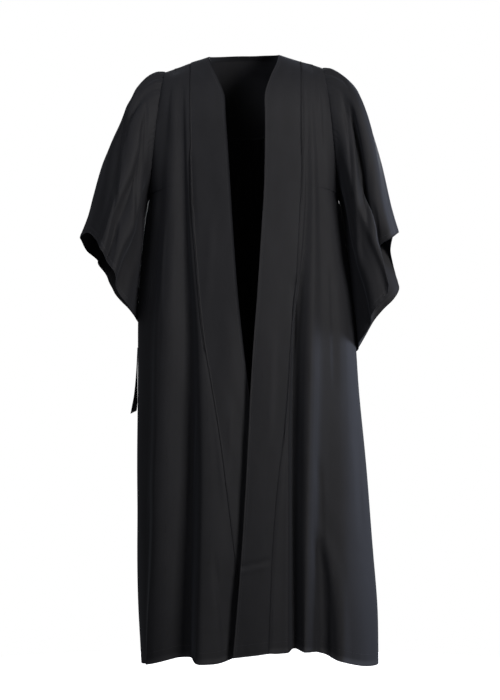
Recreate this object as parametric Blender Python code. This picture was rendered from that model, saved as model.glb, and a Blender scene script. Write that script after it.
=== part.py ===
"""Open-front graduation gown of black cloth, hollow and rigid, in its worn shape.

Lengths in the tables are millimetres and turns are degrees. The objects are built in metres with +Z up.
The front faces -Y and +X is the wearer's left. The origin is the centre of the shoulders, at the height
of the neck points and on the line of the shoulder seams. Side -1 is the wearer's right, side 1 the left.
A reach is a distance from the middle plane, positive on its own side.
"""
import bpy
import numpy as np

MM = 0.001
WALL = 1.5
SEAM = 0.5
SEAM_TIP = 1.7
SEAM_UNDERARM = 2.0

NECK_HALF = 73.0
NECK_DEPTH = 72.0
NECK_RISE = 10.0
NECK_Z = {-1: 0.0, 1: 4.0}
TIP_HALF = 163.0
TIP_Z = {-1: -32.0, 1: -24.0}
UNDERARM_HALF = 195.0
UNDERARM_Z = -292.0
ARM_FRONT = 64.0
ARM_BACK = 76.0
ARM_STEPS = 10
YOKE_STEPS = 4
YOKE_ROWS = 2 * YOKE_STEPS + 1
YOKE_SOFTENING = 9
YOKE_DROP = 160.0
ROUND_FRONT = 150.0
ROUND_BACK = 92.0

SIDE_LEVELS = [-330, -385, -450, -525, -610, -705, -810, -920, -1035, -1150, -1262]
BAND_COLUMNS = 3
BACK_GATHERS = 18
BACK_COLUMNS = 4 * BACK_GATHERS
BACK_FLUTES = 8

# height, reach of the right side seam, reach of the left side seam
SIDES = [
    (-292, 195, 195),
    (-340, 204, 205),
    (-400, 211, 213),
    (-480, 217, 223),
    (-560, 220, 231),
    (-650, 221, 236),
    (-750, 222, 245),
    (-870, 222, 256),
    (-1000, 222, 266),
    (-1130, 220, 277),
    (-1262, 214, 280),
]

# height, depth of the front at the middle, depth of the back at the middle
DEPTHS = [
    (10, 98, 112),
    (-150, 105, 120),
    (-300, 105, 128),
    (-450, 111, 134),
    (-650, 121, 148),
    (-850, 130, 165),
    (-1050, 140, 182),
    (-1262, 150, 198),
]

# height, reach of the front edge, for each side
EDGES = {
    -1: [(0, 73), (-19, 68), (-47, 57), (-63, 49), (-85, 40.5), (-148, 36), (-201, 32), (-331, 24),
         (-473, 14), (-613, 0), (-813, -26), (-1034, -54), (-1236, -73)],
    1: [(4, 73), (-24, 66), (-54, 53), (-81, 43), (-174, 43), (-278, 41), (-345, 37), (-500, 27),
        (-635, 16.6), (-799, 8.5), (-951, 0.4), (-1120, -12), (-1236, -22)],
}

# height, reach of the seam between band and front, for each side
BAND_SEAMS = {
    -1: [(-13, 110), (-163, 108), (-306, 105), (-400, 98), (-510, 89), (-611, 77.5), (-698, 62), (-806, 45.5),
         (-948, 29), (-1100, 11), (-1240, -3)],
    1: [(-10, 117), (-164, 116), (-225, 118), (-337, 114), (-449, 108), (-550, 99.5), (-635, 91),
        (-712, 89), (-813, 77), (-923, 65), (-1044, 57), (-1236, 50)],
}

# hem height at the front edge, the band seam and the side seam, for each side
HEMS = {-1: (-1237, -1238, -1262), 1: (-1234, -1226, -1262)}
BACK_HEM = -1256.0

# reach, lift of the hem there over the straight run between those heights, for each side
HEM_LIFTS = {
    -1: [(-73, 20), (-3, 18), (24, 9), (44, 5), (84, 8), (146, 14), (190, 8), (214, 0)],
    1: [(-22, 4), (50, 6), (100, 15), (126, 20), (172, 12), (200, 8), (240, 2), (280, 0)],
}

# The fronts' long creases. Each line: columns between the line before it and itself, its reach at each
# of the fold heights, and how far it stands out there (ridges positive, troughs negative).
FOLD_HEIGHTS = (-40, -300, -450, -600, -900, -1262)
SEAM_STAND = {-1: (0, 0, 1, 1, 2, 4), 1: (0, 0, 1, 2, 3, 3)}
FOLD_LINES = {
    -1: [
        (3, (119, 112, 102, 87, 79, 85), (0, -1, -1, 1, 9, 15)),
        (6, (127, 122, 119, 115, 117, 124), (0, -8, -14, -20, -27, -31)),
        (6, (139, 150, 158, 164, 176, 190), (0, 5, 6, 7, 9, 12)),
        (4, (151, 176, 188, 195, 200, 205), (0, -2, -3, -4, -3, -3)),
        (7, None, (0, 0, 0, 0, 0, 0)),
    ],
    1: [
        (3, (122, 122, 113, 98, 88, 86), (0, 0, -2, -3, 1, 2)),
        (4, (128, 128, 119, 105, 102, 106), (0, -2, -7, -18, -24, -24)),
        (4, (135, 142, 141, 134, 126, 121), (0, 3, 4, 6, 9, 8)),
        (4, (143, 156, 160, 162, 158, 164), (0, -1, -1, 0, -2, -22)),
        (4, (152, 178, 192, 204, 208, 197), (0, 2, 3, 5, 6, 13)),
        (7, None, (0, 0, 0, 0, 0, 0)),
    ],
}

# share of the length, reach and height of the top, reach and height of the bottom, depth front and back
SLEEVE_RINGS = {
    -1: [
        (0.08, 184, -35, 201, -306, 72, 84),
        (0.18, 211, -52, 204, -338, 82, 92),
        (0.30, 233, -82, 206, -374, 90, 98),
        (0.45, 253, -126, 209, -420, 97, 106),
        (0.60, 275, -176, 213, -464, 104, 112),
        (0.76, 299, -245, 215, -506, 110, 119),
        (0.90, 325, -335, 216, -543, 114, 124),
        (1.00, 340, -372, 217, -562, 116, 126),
    ],
    1: [
        (0.08, 183, -27, 201, -308, 72, 84),
        (0.18, 208, -42, 204, -342, 82, 92),
        (0.30, 232, -66, 209, -388, 90, 98),
        (0.45, 252, -115, 215, -445, 97, 106),
        (0.60, 271, -168, 221, -496, 104, 112),
        (0.76, 290, -235, 226, -545, 110, 119),
        (0.90, 310, -320, 229, -585, 112, 122),
        (1.00, 324, -365, 231, -612, 112, 124),
    ],
}
# The bottom of a sleeve hangs this far behind the side seam, and the sleeve stays this far off the body.
SLEEVE_BEHIND = 38.0
SLEEVE_CLEAR = 3.8

# turn from the top towards the front, reach, height and depth of the cuff's edge
CUFFS = {
    -1: [
        (0, 341, -377, -8),
        (25, 322, -370, -62),
        (50, 301, -386, -100),
        (75, 288, -408, -118),
        (100, 277, -430, -120),
        (125, 261, -462, -110),
        (150, 241, -512, -80),
        (180, 217.5, -558, 38),
        (210, 250, -518, 86),
        (240, 288, -470, 116),
        (270, 308, -436, 128),
        (300, 322, -415, 112),
        (330, 338, -394, 66),
    ],
    1: [
        (0, 320, -368, -34),
        (25, 300, -383, -86),
        (50, 275, -402, -82),
        (62, 274, -418, -80),
        (80, 285, -444, -104),
        (95, 293.5, -473, -112),
        (108, 291, -498, -104),
        (125, 270, -525, -98),
        (145, 250, -561, -80),
        (163, 237, -598, -34),
        (180, 231, -617, 36),
        (200, 240, -610, 68),
        (215, 259, -580, 92),
        (230, 290, -531, 112),
        (243, 318, -503, 118),
        (253, 332, -480, 120),
        (276, 323, -440, 118),
        (300, 313, -395, 104),
        (330, 314, -370, 46),
    ],
}

# turn at the shoulder, turn at the cuff, share where it starts, share of full depth,
# share where it ends (over 1 for none), half width in turn, depth
SLEEVE_FOLDS = {
    -1: [
        (44, 40, 0.06, 0.26, 0.62, 15, -9),
        (92, 98, 0.10, 0.35, 1.50, 14, -8),
        (114, 118, 0.10, 0.35, 1.50, 13, 6),
        (138, 138, 0.06, 0.25, 1.50, 16, -12),
        (72, 76, 0.20, 0.60, 1.50, 20, 7),
        (228, 222, 0.10, 0.45, 1.50, 17, -10),
        (262, 258, 0.10, 0.45, 1.50, 20, 8),
        (302, 298, 0.08, 0.50, 1.50, 18, -11),
    ],
    1: [
        (68, 61, 0.04, 0.36, 0.98, 24, -18),
        (30, 30, 0.10, 0.50, 1.50, 18, 5),
        (101, 100, 0.10, 0.35, 0.93, 16, 7),
        (124, 122, 0.15, 0.50, 1.50, 14, 4),
        (146, 146, 0.06, 0.25, 1.50, 14, -11),
        (236, 240, 0.10, 0.45, 1.50, 17, -10),
        (268, 270, 0.10, 0.45, 0.96, 18, 7),
        (304, 300, 0.08, 0.50, 0.96, 18, -11),
    ],
}
SLEEVE_ROWS = [0, 0.035, 0.08, 0.14, 0.22, 0.32, 0.43, 0.54, 0.65, 0.76, 0.88, 1.0]

# share, reach of the outer edge, height, turn of the width from fore-and-aft towards the front view
TAPE = [(0.0, 222.2, -606, 0), (0.3, 224.2, -648, 5), (0.65, 228.7, -700, 25), (1.0, 236.8, -744, 74)]
TAPE_WIDTH = 13.0
TAPE_WALL = 1.0


def curve(rows, key, column):
    """Value of a table's column at a key: a smooth line through the rows that never overshoots them."""
    rows = sorted(rows)
    x = np.array([row[0] for row in rows], float)
    y = np.array([row[column] for row in rows], float)
    step = np.diff(x)
    slope = np.diff(y) / step
    tangent = np.zeros(len(x))
    same = slope[:-1] * slope[1:] > 0
    mean = 2 * slope[:-1] * slope[1:] / np.where(same, slope[:-1] + slope[1:], 1)
    tangent[1:-1] = np.where(same, mean, 0)
    tangent[0], tangent[-1] = slope[0], slope[-1]
    key = np.clip(np.asarray(key, float), x[0], x[-1])
    i = np.clip(np.searchsorted(x, key) - 1, 0, len(step) - 1)
    t = (key - x[i]) / step[i]
    rise = y[i] * (1 + 2 * t) * (1 - t) ** 2 + y[i + 1] * t * t * (3 - 2 * t)
    return rise + step[i] * (tangent[i] * t * (1 - t) ** 2 - tangent[i + 1] * t * t * (1 - t))


def ease(value):
    t = np.clip(value, 0, 1)
    return t * t * (3 - 2 * t)


def bump(offset, inner, outer):
    """1 at no offset, falling softly to 0 at the inner width below it and the outer width above it."""
    width = np.where(offset < 0, inner, outer)
    return np.cos(np.clip(offset / width, -1, 1) * np.pi / 2) ** 2


def rounding(drop, size):
    """Share of full depth at a drop below a rounded shoulder."""
    return np.sqrt(1 - (1 - np.clip(drop / size, 0, 1)) ** 2)


def unit(vectors):
    return vectors / np.maximum(np.linalg.norm(vectors, axis=-1, keepdims=True), 1e-9)


def mix(a, b, share):
    return a + (b - a) * share


def shoulder_height(side, reach):
    share = (np.abs(reach) - NECK_HALF) / (TIP_HALF - NECK_HALF)
    return mix(NECK_Z[side], TIP_Z[side], np.clip(share, 0, 1))


def edge_levels(side):
    """Reach, front depth, back depth and height down the armhole and the side seam."""
    turn = np.radians(np.arange(ARM_STEPS + 1) * 180 / ARM_STEPS)
    middle = (TIP_Z[side] + UNDERARM_Z) / 2
    half = (TIP_Z[side] - UNDERARM_Z) / 2
    height = middle + half * np.cos(turn)
    fall = (TIP_Z[side] - height) / (2 * half)
    reach = mix(TIP_HALF, UNDERARM_HALF, fall ** 0.8)
    column = 1 if side < 0 else 2
    down = np.array(SIDE_LEVELS, float)
    none = np.zeros(len(down))
    return (np.append(reach, curve(SIDES, down, column)), np.append(ARM_FRONT * np.sin(turn), none),
            np.append(ARM_BACK * np.sin(turn), none), np.append(height, down))


def section_depth(side, edge, full, share, height, reach):
    """Depth of a section from its edge to its full depth in the middle, rounder below the armhole.

    Near the armhole the edge stands out by the reach of the armhole, which runs out softly below it.
    """
    soft = reach * rounding(TIP_Z[side] - height, 90) * ease((height + 440) / 230)
    near = mix(soft, edge, share ** 20)
    power = mix(0.95, 0.5, ease((-height - 120) / 330))
    return near + (full - near) * (1 - share ** 2.4) ** power


def side_reach(side, depth, height):
    """Reach of the body below the armhole at a depth and height: section_depth solved for its share."""
    height = np.minimum(height, UNDERARM_Z)
    shares = np.linspace(1, 0.7, 31)
    fore = depth < 0
    full = np.where(fore, curve(DEPTHS, height, 1), curve(DEPTHS, height, 2))
    stand = np.where(fore, ARM_FRONT, ARM_BACK)
    deep = np.array([section_depth(side, 0, full, share, height, stand) for share in shares])
    away = np.abs(depth)
    index = np.clip((deep < away).sum(0), 1, len(shares) - 1)
    low, high = (np.take_along_axis(deep, (index - k)[None], 0)[0] for k in (1, 0))
    part = np.clip((away - low) / np.maximum(high - low, 1e-6), 0, 1)
    return curve(SIDES, height, 1 if side < 0 else 2) * (shares[index - 1] - 0.01 * part)


def normals_of(points, closed):
    """Unit normals of a grid from its neighbours' differences, outward for the grids used here."""
    if closed:
        around = np.roll(points, -1, 0) - np.roll(points, 1, 0)
    else:
        around = np.gradient(points, axis=0)
    return unit(np.cross(around, np.gradient(points, axis=1)))


def level_curve(values, height):
    """A fold line's reach or stand, given at the fold heights, at other heights."""
    return curve(list(zip(FOLD_HEIGHTS, values)), height, 1)


def front_grid(side):
    """Points of one front with its band: rows run straight between front edge, band seam and side.

    Columns follow the fold lines, and between two lines the stand passes over along a cosine.
    """
    edge_reach, edge_front, _, edge_z = edge_levels(side)
    fall = (edge_z[0] - edge_z) / (edge_z[0] - edge_z[-1])
    hem = HEMS[side]
    seam_top = BAND_SEAMS[side][0][1]
    z_in = mix(NECK_Z[side], hem[0], fall)
    z_mid = mix(shoulder_height(side, seam_top), hem[1], fall)
    x_in = curve(EDGES[side], z_in, 1)
    x_mid = curve(BAND_SEAMS[side], z_mid, 1)
    x_mid[0] = seam_top
    row_z = (z_mid + edge_z) / 2
    last_x, last_stand = x_mid, level_curve(SEAM_STAND[side], row_z)
    columns = []
    for share in np.linspace(0, 1, BAND_COLUMNS + 1):
        columns.append((mix(x_in, x_mid, share), mix(z_in, z_mid, share), last_stand * share))
    for count, line, stand in FOLD_LINES[side]:
        next_x = edge_reach if line is None else level_curve(line, row_z)
        next_stand = level_curve(stand, row_z)
        for share in np.linspace(0, 1, count + 1)[1:]:
            part = mix(share, np.sin(share * np.pi / 2), fall ** 0.3) if line is None else share
            x = mix(last_x, next_x, part)
            z = mix(z_mid, edge_z, (x - x_mid) / (edge_reach - x_mid))
            columns.append((x, z, mix(last_stand, next_stand, 0.5 - 0.5 * np.cos(np.pi * share))))
        last_x, last_stand = next_x, next_stand
    reach, height, folds = [np.array([c[i] for c in columns]) for i in range(3)]
    share = np.clip(reach / edge_reach, 0, 1)
    full = rounding(shoulder_height(side, reach) - height, ROUND_FRONT) * curve(DEPTHS, height, 1)
    forward = section_depth(side, edge_front, full, share, height, ARM_FRONT)
    across = side * reach
    if side < 0:
        over = curve(EDGES[1], height, 1)
        lower = ease((-1000 - height) / 120)
        wide = 46 + 18 * lower
        tuck = ease((across - over + wide) / wide) * ease((-480 - height) / 160)
        forward = forward - (16 + 7 * lower) * tuck
    else:
        forward = forward + 3 * ease((NECK_HALF - reach) / 40) * ease((-300 - height) / 200)
    points = np.stack([across, -forward, height], axis=-1)
    outward = normals_of(points, False) * -side
    outward[..., 2] = 0
    points = points + unit(outward) * folds[..., None]
    drop = np.clip((height + 700) / -540, 0, 1) ** 2
    points[..., 2] += (curve(HEM_LIFTS[side], reach, 1) - 0.2 * np.clip(folds, -20, 20)) * drop
    return points


def edge_at(values, rows):
    return np.interp(rows, np.arange(len(values)), values)


def back_sections(row, lateral, top, height):
    """Points of the back's plain shape on one row: lateral share, inner round-off and height given."""
    points = np.zeros((len(lateral), 3))
    for side in (-1, 1):
        reach, _, rear, _ = edge_levels(side)
        here = (lateral < 0) if side < 0 else (lateral >= 0)
        share = np.clip(np.abs(lateral[here]), 0, 1)
        full = top[here] * curve(DEPTHS, height[here], 2)
        points[here, 0] = side * np.abs(lateral[here]) * edge_at(reach, row)
        points[here, 1] = section_depth(side, edge_at(rear, row), full, share, height[here], ARM_BACK)
        points[here, 2] = height[here]
    return points


def yoke_grid():
    """Shoulder piece: columns fan from the shoulder seams and the back of the neck to the gathered seam."""
    count = BACK_COLUMNS // 2
    u = np.linspace(-1, 1, count + 1)
    inside = np.abs(u) <= 0.5
    turn = np.clip(u / 0.5, -1, 1) * np.pi / 2
    outer = TIP_HALF - (TIP_HALF - NECK_HALF) * (1 - np.abs(u)) / 0.5
    top_x = np.where(inside, NECK_HALF * np.sin(turn), np.sign(u) * outer)
    top_y = np.where(inside, NECK_DEPTH * np.cos(turn), 0.0)
    line = np.where(u < 0, shoulder_height(-1, top_x), shoulder_height(1, top_x))
    neck = mix(NECK_Z[-1], NECK_Z[1], np.clip((top_x + NECK_HALF) / (2 * NECK_HALF), 0, 1))
    top_z = np.where(inside, neck + NECK_RISE * np.cos(turn), line)
    points = np.zeros((count + 1, YOKE_ROWS, 3))
    levels = {side: edge_levels(side) for side in (-1, 1)}
    tip = np.where(u < 0, levels[-1][0][YOKE_STEPS], levels[1][0][YOKE_STEPS])
    end = np.where(u < 0, levels[-1][3][YOKE_STEPS], levels[1][3][YOKE_STEPS])
    low_z = mix(-YOKE_DROP, end, np.abs(u) ** 2.2)
    for index, row in enumerate(np.linspace(0, YOKE_STEPS, YOKE_ROWS)):
        z_edge = np.where(u < 0, edge_at(levels[-1][3], row), edge_at(levels[1][3], row))
        z_tip = np.where(u < 0, TIP_Z[-1], TIP_Z[1])
        fall = (z_tip - z_edge) / (z_tip - end)
        x_edge = np.where(u < 0, edge_at(levels[-1][0], row), edge_at(levels[1][0], row))
        x = mix(top_x, u * tip, fall) + u ** 3 * (x_edge - mix(TIP_HALF, tip, fall))
        z = mix(top_z, low_z, fall)
        lateral = np.clip(x / x_edge, -1, 1)
        first = np.abs(top_x / TIP_HALF)
        base = top_y / (curve(DEPTHS, top_z, 2) * np.maximum((1 - first ** 2.4) ** 0.95, 1e-6))
        top = base + (1 - base) * rounding(top_z - z, ROUND_BACK)
        points[:, index] = back_sections(row, lateral, top, z)
        points[:, index, 0] = lateral * x_edge
    for turn in range(YOKE_SOFTENING):
        low = points[:, 1 + turn // 3:-1]
        low[1:-1] = (low[:-2] + 2 * low[1:-1] + low[2:]) / 4
    return points


def back_grid(seam_line):
    """Back below the yoke: gathers at its top row that run out, and flutes that grow to the hem."""
    rows = [YOKE_STEPS, YOKE_STEPS + 0.14, YOKE_STEPS + 0.45] + list(range(YOKE_STEPS + 1, ARM_STEPS + 12))
    u = np.linspace(-1, 1, BACK_COLUMNS + 1)
    source = np.linspace(-1, 1, len(seam_line))
    line = np.stack([np.interp(u, source, seam_line[:, i]) for i in range(3)], axis=-1)
    start_share = np.zeros(len(u))
    points = np.zeros((len(u), len(rows), 3))
    fall_all = []
    for side in (-1, 1):
        reach, _, _, edge_z = edge_levels(side)
        here = u < 0 if side < 0 else u >= 0
        start_share[here] = line[here, 0] / reach[YOKE_STEPS]
    for index, row in enumerate(rows):
        z_edge = np.array([edge_at(edge_levels(-1 if v < 0 else 1)[3], row) for v in u])
        z_first = np.array([edge_levels(-1 if v < 0 else 1)[3][YOKE_STEPS] for v in u])
        fall = (z_first - z_edge) / (z_first - SIDE_LEVELS[-1])
        hem = mix(BACK_HEM, SIDE_LEVELS[-1], np.abs(u) ** 2)
        height = mix(line[:, 2], hem, fall)
        even = mix(u, np.sin(u * np.pi / 2), 0.85)
        lateral = mix(start_share, even, ease(fall / 0.25))
        if index == 0:
            points[:, 0] = line
        else:
            points[:, index] = back_sections(row, lateral, np.ones(len(u)), height)
        fall_all.append(fall)
    outward = normals_of(points, False)
    outward[..., 2] = 0
    outward = unit(outward)
    fall = np.array(fall_all).T
    wander = u[:, None] + 0.035 * np.sin(5.3 * u[:, None] + 2.2 * fall) + 0.02 * np.sin(11 * u[:, None] - 3 * fall)
    phase = np.pi * BACK_FLUTES * wander
    strength = 0.86 + 0.16 * np.sin(7.1 * u[:, None] + 1.3) + 0.08 * np.sin(17.0 * u[:, None])
    flute = np.cos(phase) + 0.18 * np.cos(2 * phase + 0.4)
    growth = 25 * ease(fall / 0.9) ** 0.9
    beside = np.clip((1 - np.abs(u[:, None])) / 0.30, 0, 1) ** 1.3
    folds = flute * strength * growth * beside
    count = np.arange(BACK_COLUMNS + 1)
    wave = np.cos(np.pi * count / 2)[:, None]
    length = 0.16 + 0.10 * np.sin(count * 2.4)[:, None] ** 2
    drop = fall / length
    gather = 2.3 * wave * np.clip(fall / 0.006, 0, 1) * np.clip(1 - drop, 0, 1) ** 0.8
    gather = gather * np.clip((1 - np.abs(u[:, None])) / 0.05, 0, 1)
    total = folds + gather
    points = points + outward * total[..., None]
    points[..., 2] -= 0.2 * folds * fall ** 4
    return points, rows


def sleeve_grid(side):
    """Rings from the armhole to the cuff. Each is an oval between its top and bottom, with the folds."""
    reach, front, rear, height = edge_levels(side)
    ring = []
    for k in range(2 * ARM_STEPS):
        level = k if k <= ARM_STEPS else 2 * ARM_STEPS - k
        y = -front[level] if k <= ARM_STEPS else rear[level]
        ring.append((reach[level], y, height[level]))
    ring = np.array(ring)
    half = (ring + np.roll(ring, -1, 0)) / 2
    first = np.stack([ring, half], axis=1).reshape(-1, 3)
    turn = np.arange(4 * ARM_STEPS) * 90 / ARM_STEPS
    angle = np.radians(turn)
    start = (0, TIP_HALF, TIP_Z[side], UNDERARM_HALF, UNDERARM_Z, ARM_FRONT, ARM_BACK)
    table = [start] + SLEEVE_RINGS[side]
    cuff_rows = CUFFS[side] + [(360,) + CUFFS[side][0][1:]]
    cuff = np.stack([curve(cuff_rows, turn, i) for i in (1, 3, 2)], axis=-1)

    def oval(share):
        top_x, top_z, low_x, low_z, fore, aft = [curve(table, share, i) for i in range(1, 7)]
        x = (top_x + low_x) / 2 + (top_x - low_x) / 2 * np.cos(angle)
        z = (top_z + low_z) / 2 + (top_z - low_z) / 2 * np.cos(angle)
        y = np.where(turn <= 180, -fore, aft) * np.abs(np.sin(angle)) ** mix(1, 0.62, ease(share / 0.3))
        y = y + SLEEVE_BEHIND * ease(share / 0.22) * (0.5 - 0.5 * np.cos(angle)) ** 9
        return np.stack([x, y, z], axis=-1)

    shares = np.array(SLEEVE_ROWS)
    points = np.zeros((len(turn), len(shares), 3))
    last = oval(1.0)
    for index, share in enumerate(shares):
        points[:, index] = oval(share) + (cuff - last) * ease((share - 0.3) / 0.7) ** 1.4
    points[:, 0] = first
    points[..., 0] *= side
    outward = normals_of(points, True) * side
    depth = np.zeros(points.shape[:2])
    for t0, t1, begin, full, end, width, amount in SLEEVE_FOLDS[side]:
        path = mix(t0, t1, shares)
        offset = (turn[:, None] - path + 180) % 360 - 180
        along = ease((shares - begin) / (full - begin)) * ease((end - shares) / 0.25)
        depth += amount * along * bump(offset, width, width)
    away = np.minimum(turn, 360 - turn)[:, None]
    pleat = 2.2 * np.cos(np.pi * np.arange(len(turn)))[:, None] * ease((58 - away) / 25)
    depth += pleat * ease(shares / 0.05) * ease((0.30 - shares) / 0.25)
    points = points + outward * depth[..., None]
    clear = SLEEVE_CLEAR * ease((UNDERARM_Z - points[..., 2]) / 9)
    clear = np.where(points[..., 2] < UNDERARM_Z, side_reach(side, points[..., 1], points[..., 2]) + clear, 0)
    points[..., 0] = side * np.maximum(side * points[..., 0], clear)
    points[:, 0] = first * np.array([side, 1, 1])
    return points


def split(points, cells):
    """Two triangles for each four-cornered cell, parted along its shorter diagonal."""
    corner = points[cells]
    first = np.linalg.norm(corner[:, 0] - corner[:, 2], axis=1)
    other = np.linalg.norm(corner[:, 1] - corner[:, 3], axis=1)
    cells = np.where((first <= other)[:, None], cells, np.roll(cells, -1, 1))
    return np.concatenate([cells[:, [0, 1, 2]], cells[:, [0, 2, 3]]])


def shell(name, points, normals, wall, closed, material):
    """One closed solid: the grid moved out and in by half the wall, joined round its open edges."""
    across, along = points.shape[:2]
    outer = points + normals * wall / 2
    inner = points - normals * wall / 2
    vertices = np.concatenate([outer.reshape(-1, 3), inner.reshape(-1, 3)]) * MM
    number = np.arange(across * along).reshape(across, along)
    low = across * along
    ends = np.roll(number, -1, 0) if closed else number[1:]
    a = number if closed else number[:-1]
    b = ends
    top = split(points.reshape(-1, 3), np.stack([a[:, :-1], a[:, 1:], b[:, 1:], b[:, :-1]], axis=-1).reshape(-1, 4))
    faces = [top, top[:, ::-1] + low]
    strips = []
    for row, flip in ((0, False), (along - 1, True)):
        strip = np.stack([a[:, row], b[:, row], b[:, row] + low, a[:, row] + low], axis=-1)
        strips.append(strip[:, ::-1] if flip else strip)
    if not closed:
        for column, flip in ((0, True), (across - 1, False)):
            line = number[column]
            strip = np.stack([line[:-1], line[1:], line[1:] + low, line[:-1] + low], axis=-1)
            strips.append(strip[:, ::-1] if flip else strip)
    faces.append(split(vertices, np.concatenate(strips)))
    faces = np.concatenate(faces)
    corner = vertices[faces]
    if np.einsum("ij,ij->i", corner[:, 0], np.cross(corner[:, 1], corner[:, 2])).sum() < 0:
        faces = faces[:, ::-1]
    mesh = bpy.data.meshes.new(name)
    mesh.from_pydata(vertices.tolist(), [], faces.tolist())
    mesh.update()
    mesh.materials.append(material)
    piece = bpy.data.objects.new(name, mesh)
    bpy.context.scene.collection.objects.link(piece)
    return piece


def cloth(name, level):
    material = bpy.data.materials.new(name + "_cloth")
    material.use_nodes = True
    shader = material.node_tree.nodes["Principled BSDF"]
    shader.inputs["Base Color"].default_value = (level, level, level * 1.08, 1)
    shader.inputs["Roughness"].default_value = 0.85
    material.diffuse_color = (level * 5, level * 5, level * 5.4, 1)
    return material


def pull_back(points, axis, end):
    """Draws one edge of a grid half a seam towards its neighbours, and leaves the rest."""
    view = points if axis == 0 else np.swapaxes(points, 0, 1)
    near = view[1] if end == 0 else view[-2]
    edge = 0 if end == 0 else -1
    view[edge] += unit(near - view[edge]) * SEAM / 2


def build():
    fronts = {side: front_grid(side) for side in (-1, 1)}
    yoke = yoke_grid()
    back, back_rows = back_grid(yoke[:, -1])
    sleeves = {side: sleeve_grid(side) for side in (-1, 1)}
    front_n = {side: normals_of(fronts[side], False) * -side for side in (-1, 1)}
    yoke_n = normals_of(yoke, False)
    back_n = normals_of(back, False)
    sleeve_n = {side: normals_of(sleeves[side], True) * side for side in (-1, 1)}

    full = np.array([i for i, row in enumerate(back_rows) if row == int(row)])
    for side in (-1, 1):
        end = 0 if side < 0 else -1
        ring = sleeve_n[side][::2, 0]
        front_edge = front_n[side][-1]
        back_edge = np.concatenate([yoke_n[end][::2], back_n[end][full[1:]]])
        seam = unit(front_edge + back_edge)
        shared = ease((ARM_STEPS - np.arange(ARM_STEPS + 1.0)) / 4)[:, None]
        fore = unit(front_edge[:ARM_STEPS + 1] + shared * ring[:ARM_STEPS + 1])
        aft_ring = np.roll(ring[::-1], 1, 0)[:ARM_STEPS + 1]
        aft = unit(back_edge[:ARM_STEPS + 1] + shared * aft_ring)
        fore_ring = unit(ring[:ARM_STEPS + 1] + shared * front_edge[:ARM_STEPS + 1])
        aft_ring = unit(aft_ring + shared * back_edge[:ARM_STEPS + 1])
        lean = np.array([side * (NECK_Z[side] - TIP_Z[side]), 0, TIP_HALF - NECK_HALF])
        up = lean / np.linalg.norm(lean)
        fore[0] = aft[0] = fore_ring[0] = aft_ring[0] = unit(up + ring[0])
        fore[-1] = aft[-1] = unit(front_edge[ARM_STEPS] + back_edge[ARM_STEPS])
        seam[:ARM_STEPS + 1] = fore
        front_n[side][-1] = seam
        front_n[side][:-1, 0] = up
        columns = np.abs(np.linspace(-1, 1, len(yoke))) >= 0.5
        columns &= np.linspace(-1, 1, len(yoke)) * side > 0
        yoke_n[columns, 0] = up
        behind = seam.copy()
        behind[:ARM_STEPS + 1] = aft
        for normals, rows in ((yoke_n, np.linspace(0, YOKE_STEPS, YOKE_ROWS)), (back_n, back_rows)):
            spread = [np.interp(rows, np.arange(len(behind)), behind[:, i]) for i in range(3)]
            normals[end] = unit(np.stack(spread, axis=-1))
        whole = np.zeros((2 * ARM_STEPS, 3))
        whole[:ARM_STEPS + 1] = fore_ring
        whole[ARM_STEPS:] = aft_ring[::-1][:-1]
        between = unit(whole + np.roll(whole, -1, 0))
        sleeve_n[side][:, 0] = np.stack([whole, between], axis=1).reshape(-1, 3)
    line = unit(yoke_n[:, -1] + back_n[::2, 0])
    line[0], line[-1] = yoke_n[0, -1], yoke_n[-1, -1]
    yoke_n[:, -1] = line
    u = np.linspace(0, 1, BACK_COLUMNS + 1)
    spread = [np.interp(u, np.linspace(0, 1, len(line)), line[:, i]) for i in range(3)]
    back_n[:, 0] = unit(np.stack(spread, axis=-1))

    for side, word in ((-1, "right"), (1, "left")):
        points, normals = fronts[side], front_n[side]
        band = points[:BAND_COLUMNS + 1].copy()
        panel = points[BAND_COLUMNS:].copy()
        pull_back(band, 0, 1)
        pull_back(band, 1, 0)
        pull_back(panel, 0, 0)
        pull_back(panel, 0, 1)
        pull_back(panel, 1, 0)
        shell("band_" + word, band, normals[:BAND_COLUMNS + 1], WALL, False, cloth("band_" + word, 0.022))
        shell("front_" + word, panel, normals[BAND_COLUMNS:], WALL, False, cloth("front_" + word, 0.018))
        arm = sleeves[side].copy()
        turn = np.radians(np.arange(len(arm)) * 90 / ARM_STEPS)
        arm[:, 0, 0] += side * np.where(np.cos(turn) > 0, mix(0.5, SEAM_TIP, np.cos(turn) ** 4),
                                        mix(0.5, SEAM_UNDERARM, np.cos(turn) ** 2))
        shell("sleeve_" + word, arm, sleeve_n[side], WALL, True, cloth("sleeve_" + word, 0.020))
    for grid in (yoke, back):
        pull_back(grid, 0, 0)
        pull_back(grid, 0, 1)
    inner = np.abs(np.linspace(-1, 1, len(yoke))) < 0.5
    neck = yoke[inner, 0].copy()
    pull_back(yoke, 1, 0)
    yoke[inner, 0] = neck
    pull_back(yoke, 1, 1)
    pull_back(back, 1, 0)
    shell("yoke", yoke, yoke_n, WALL, False, cloth("yoke", 0.024))
    shell("back", back, back_n, WALL, False, cloth("back", 0.018))
    side_tape()


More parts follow.
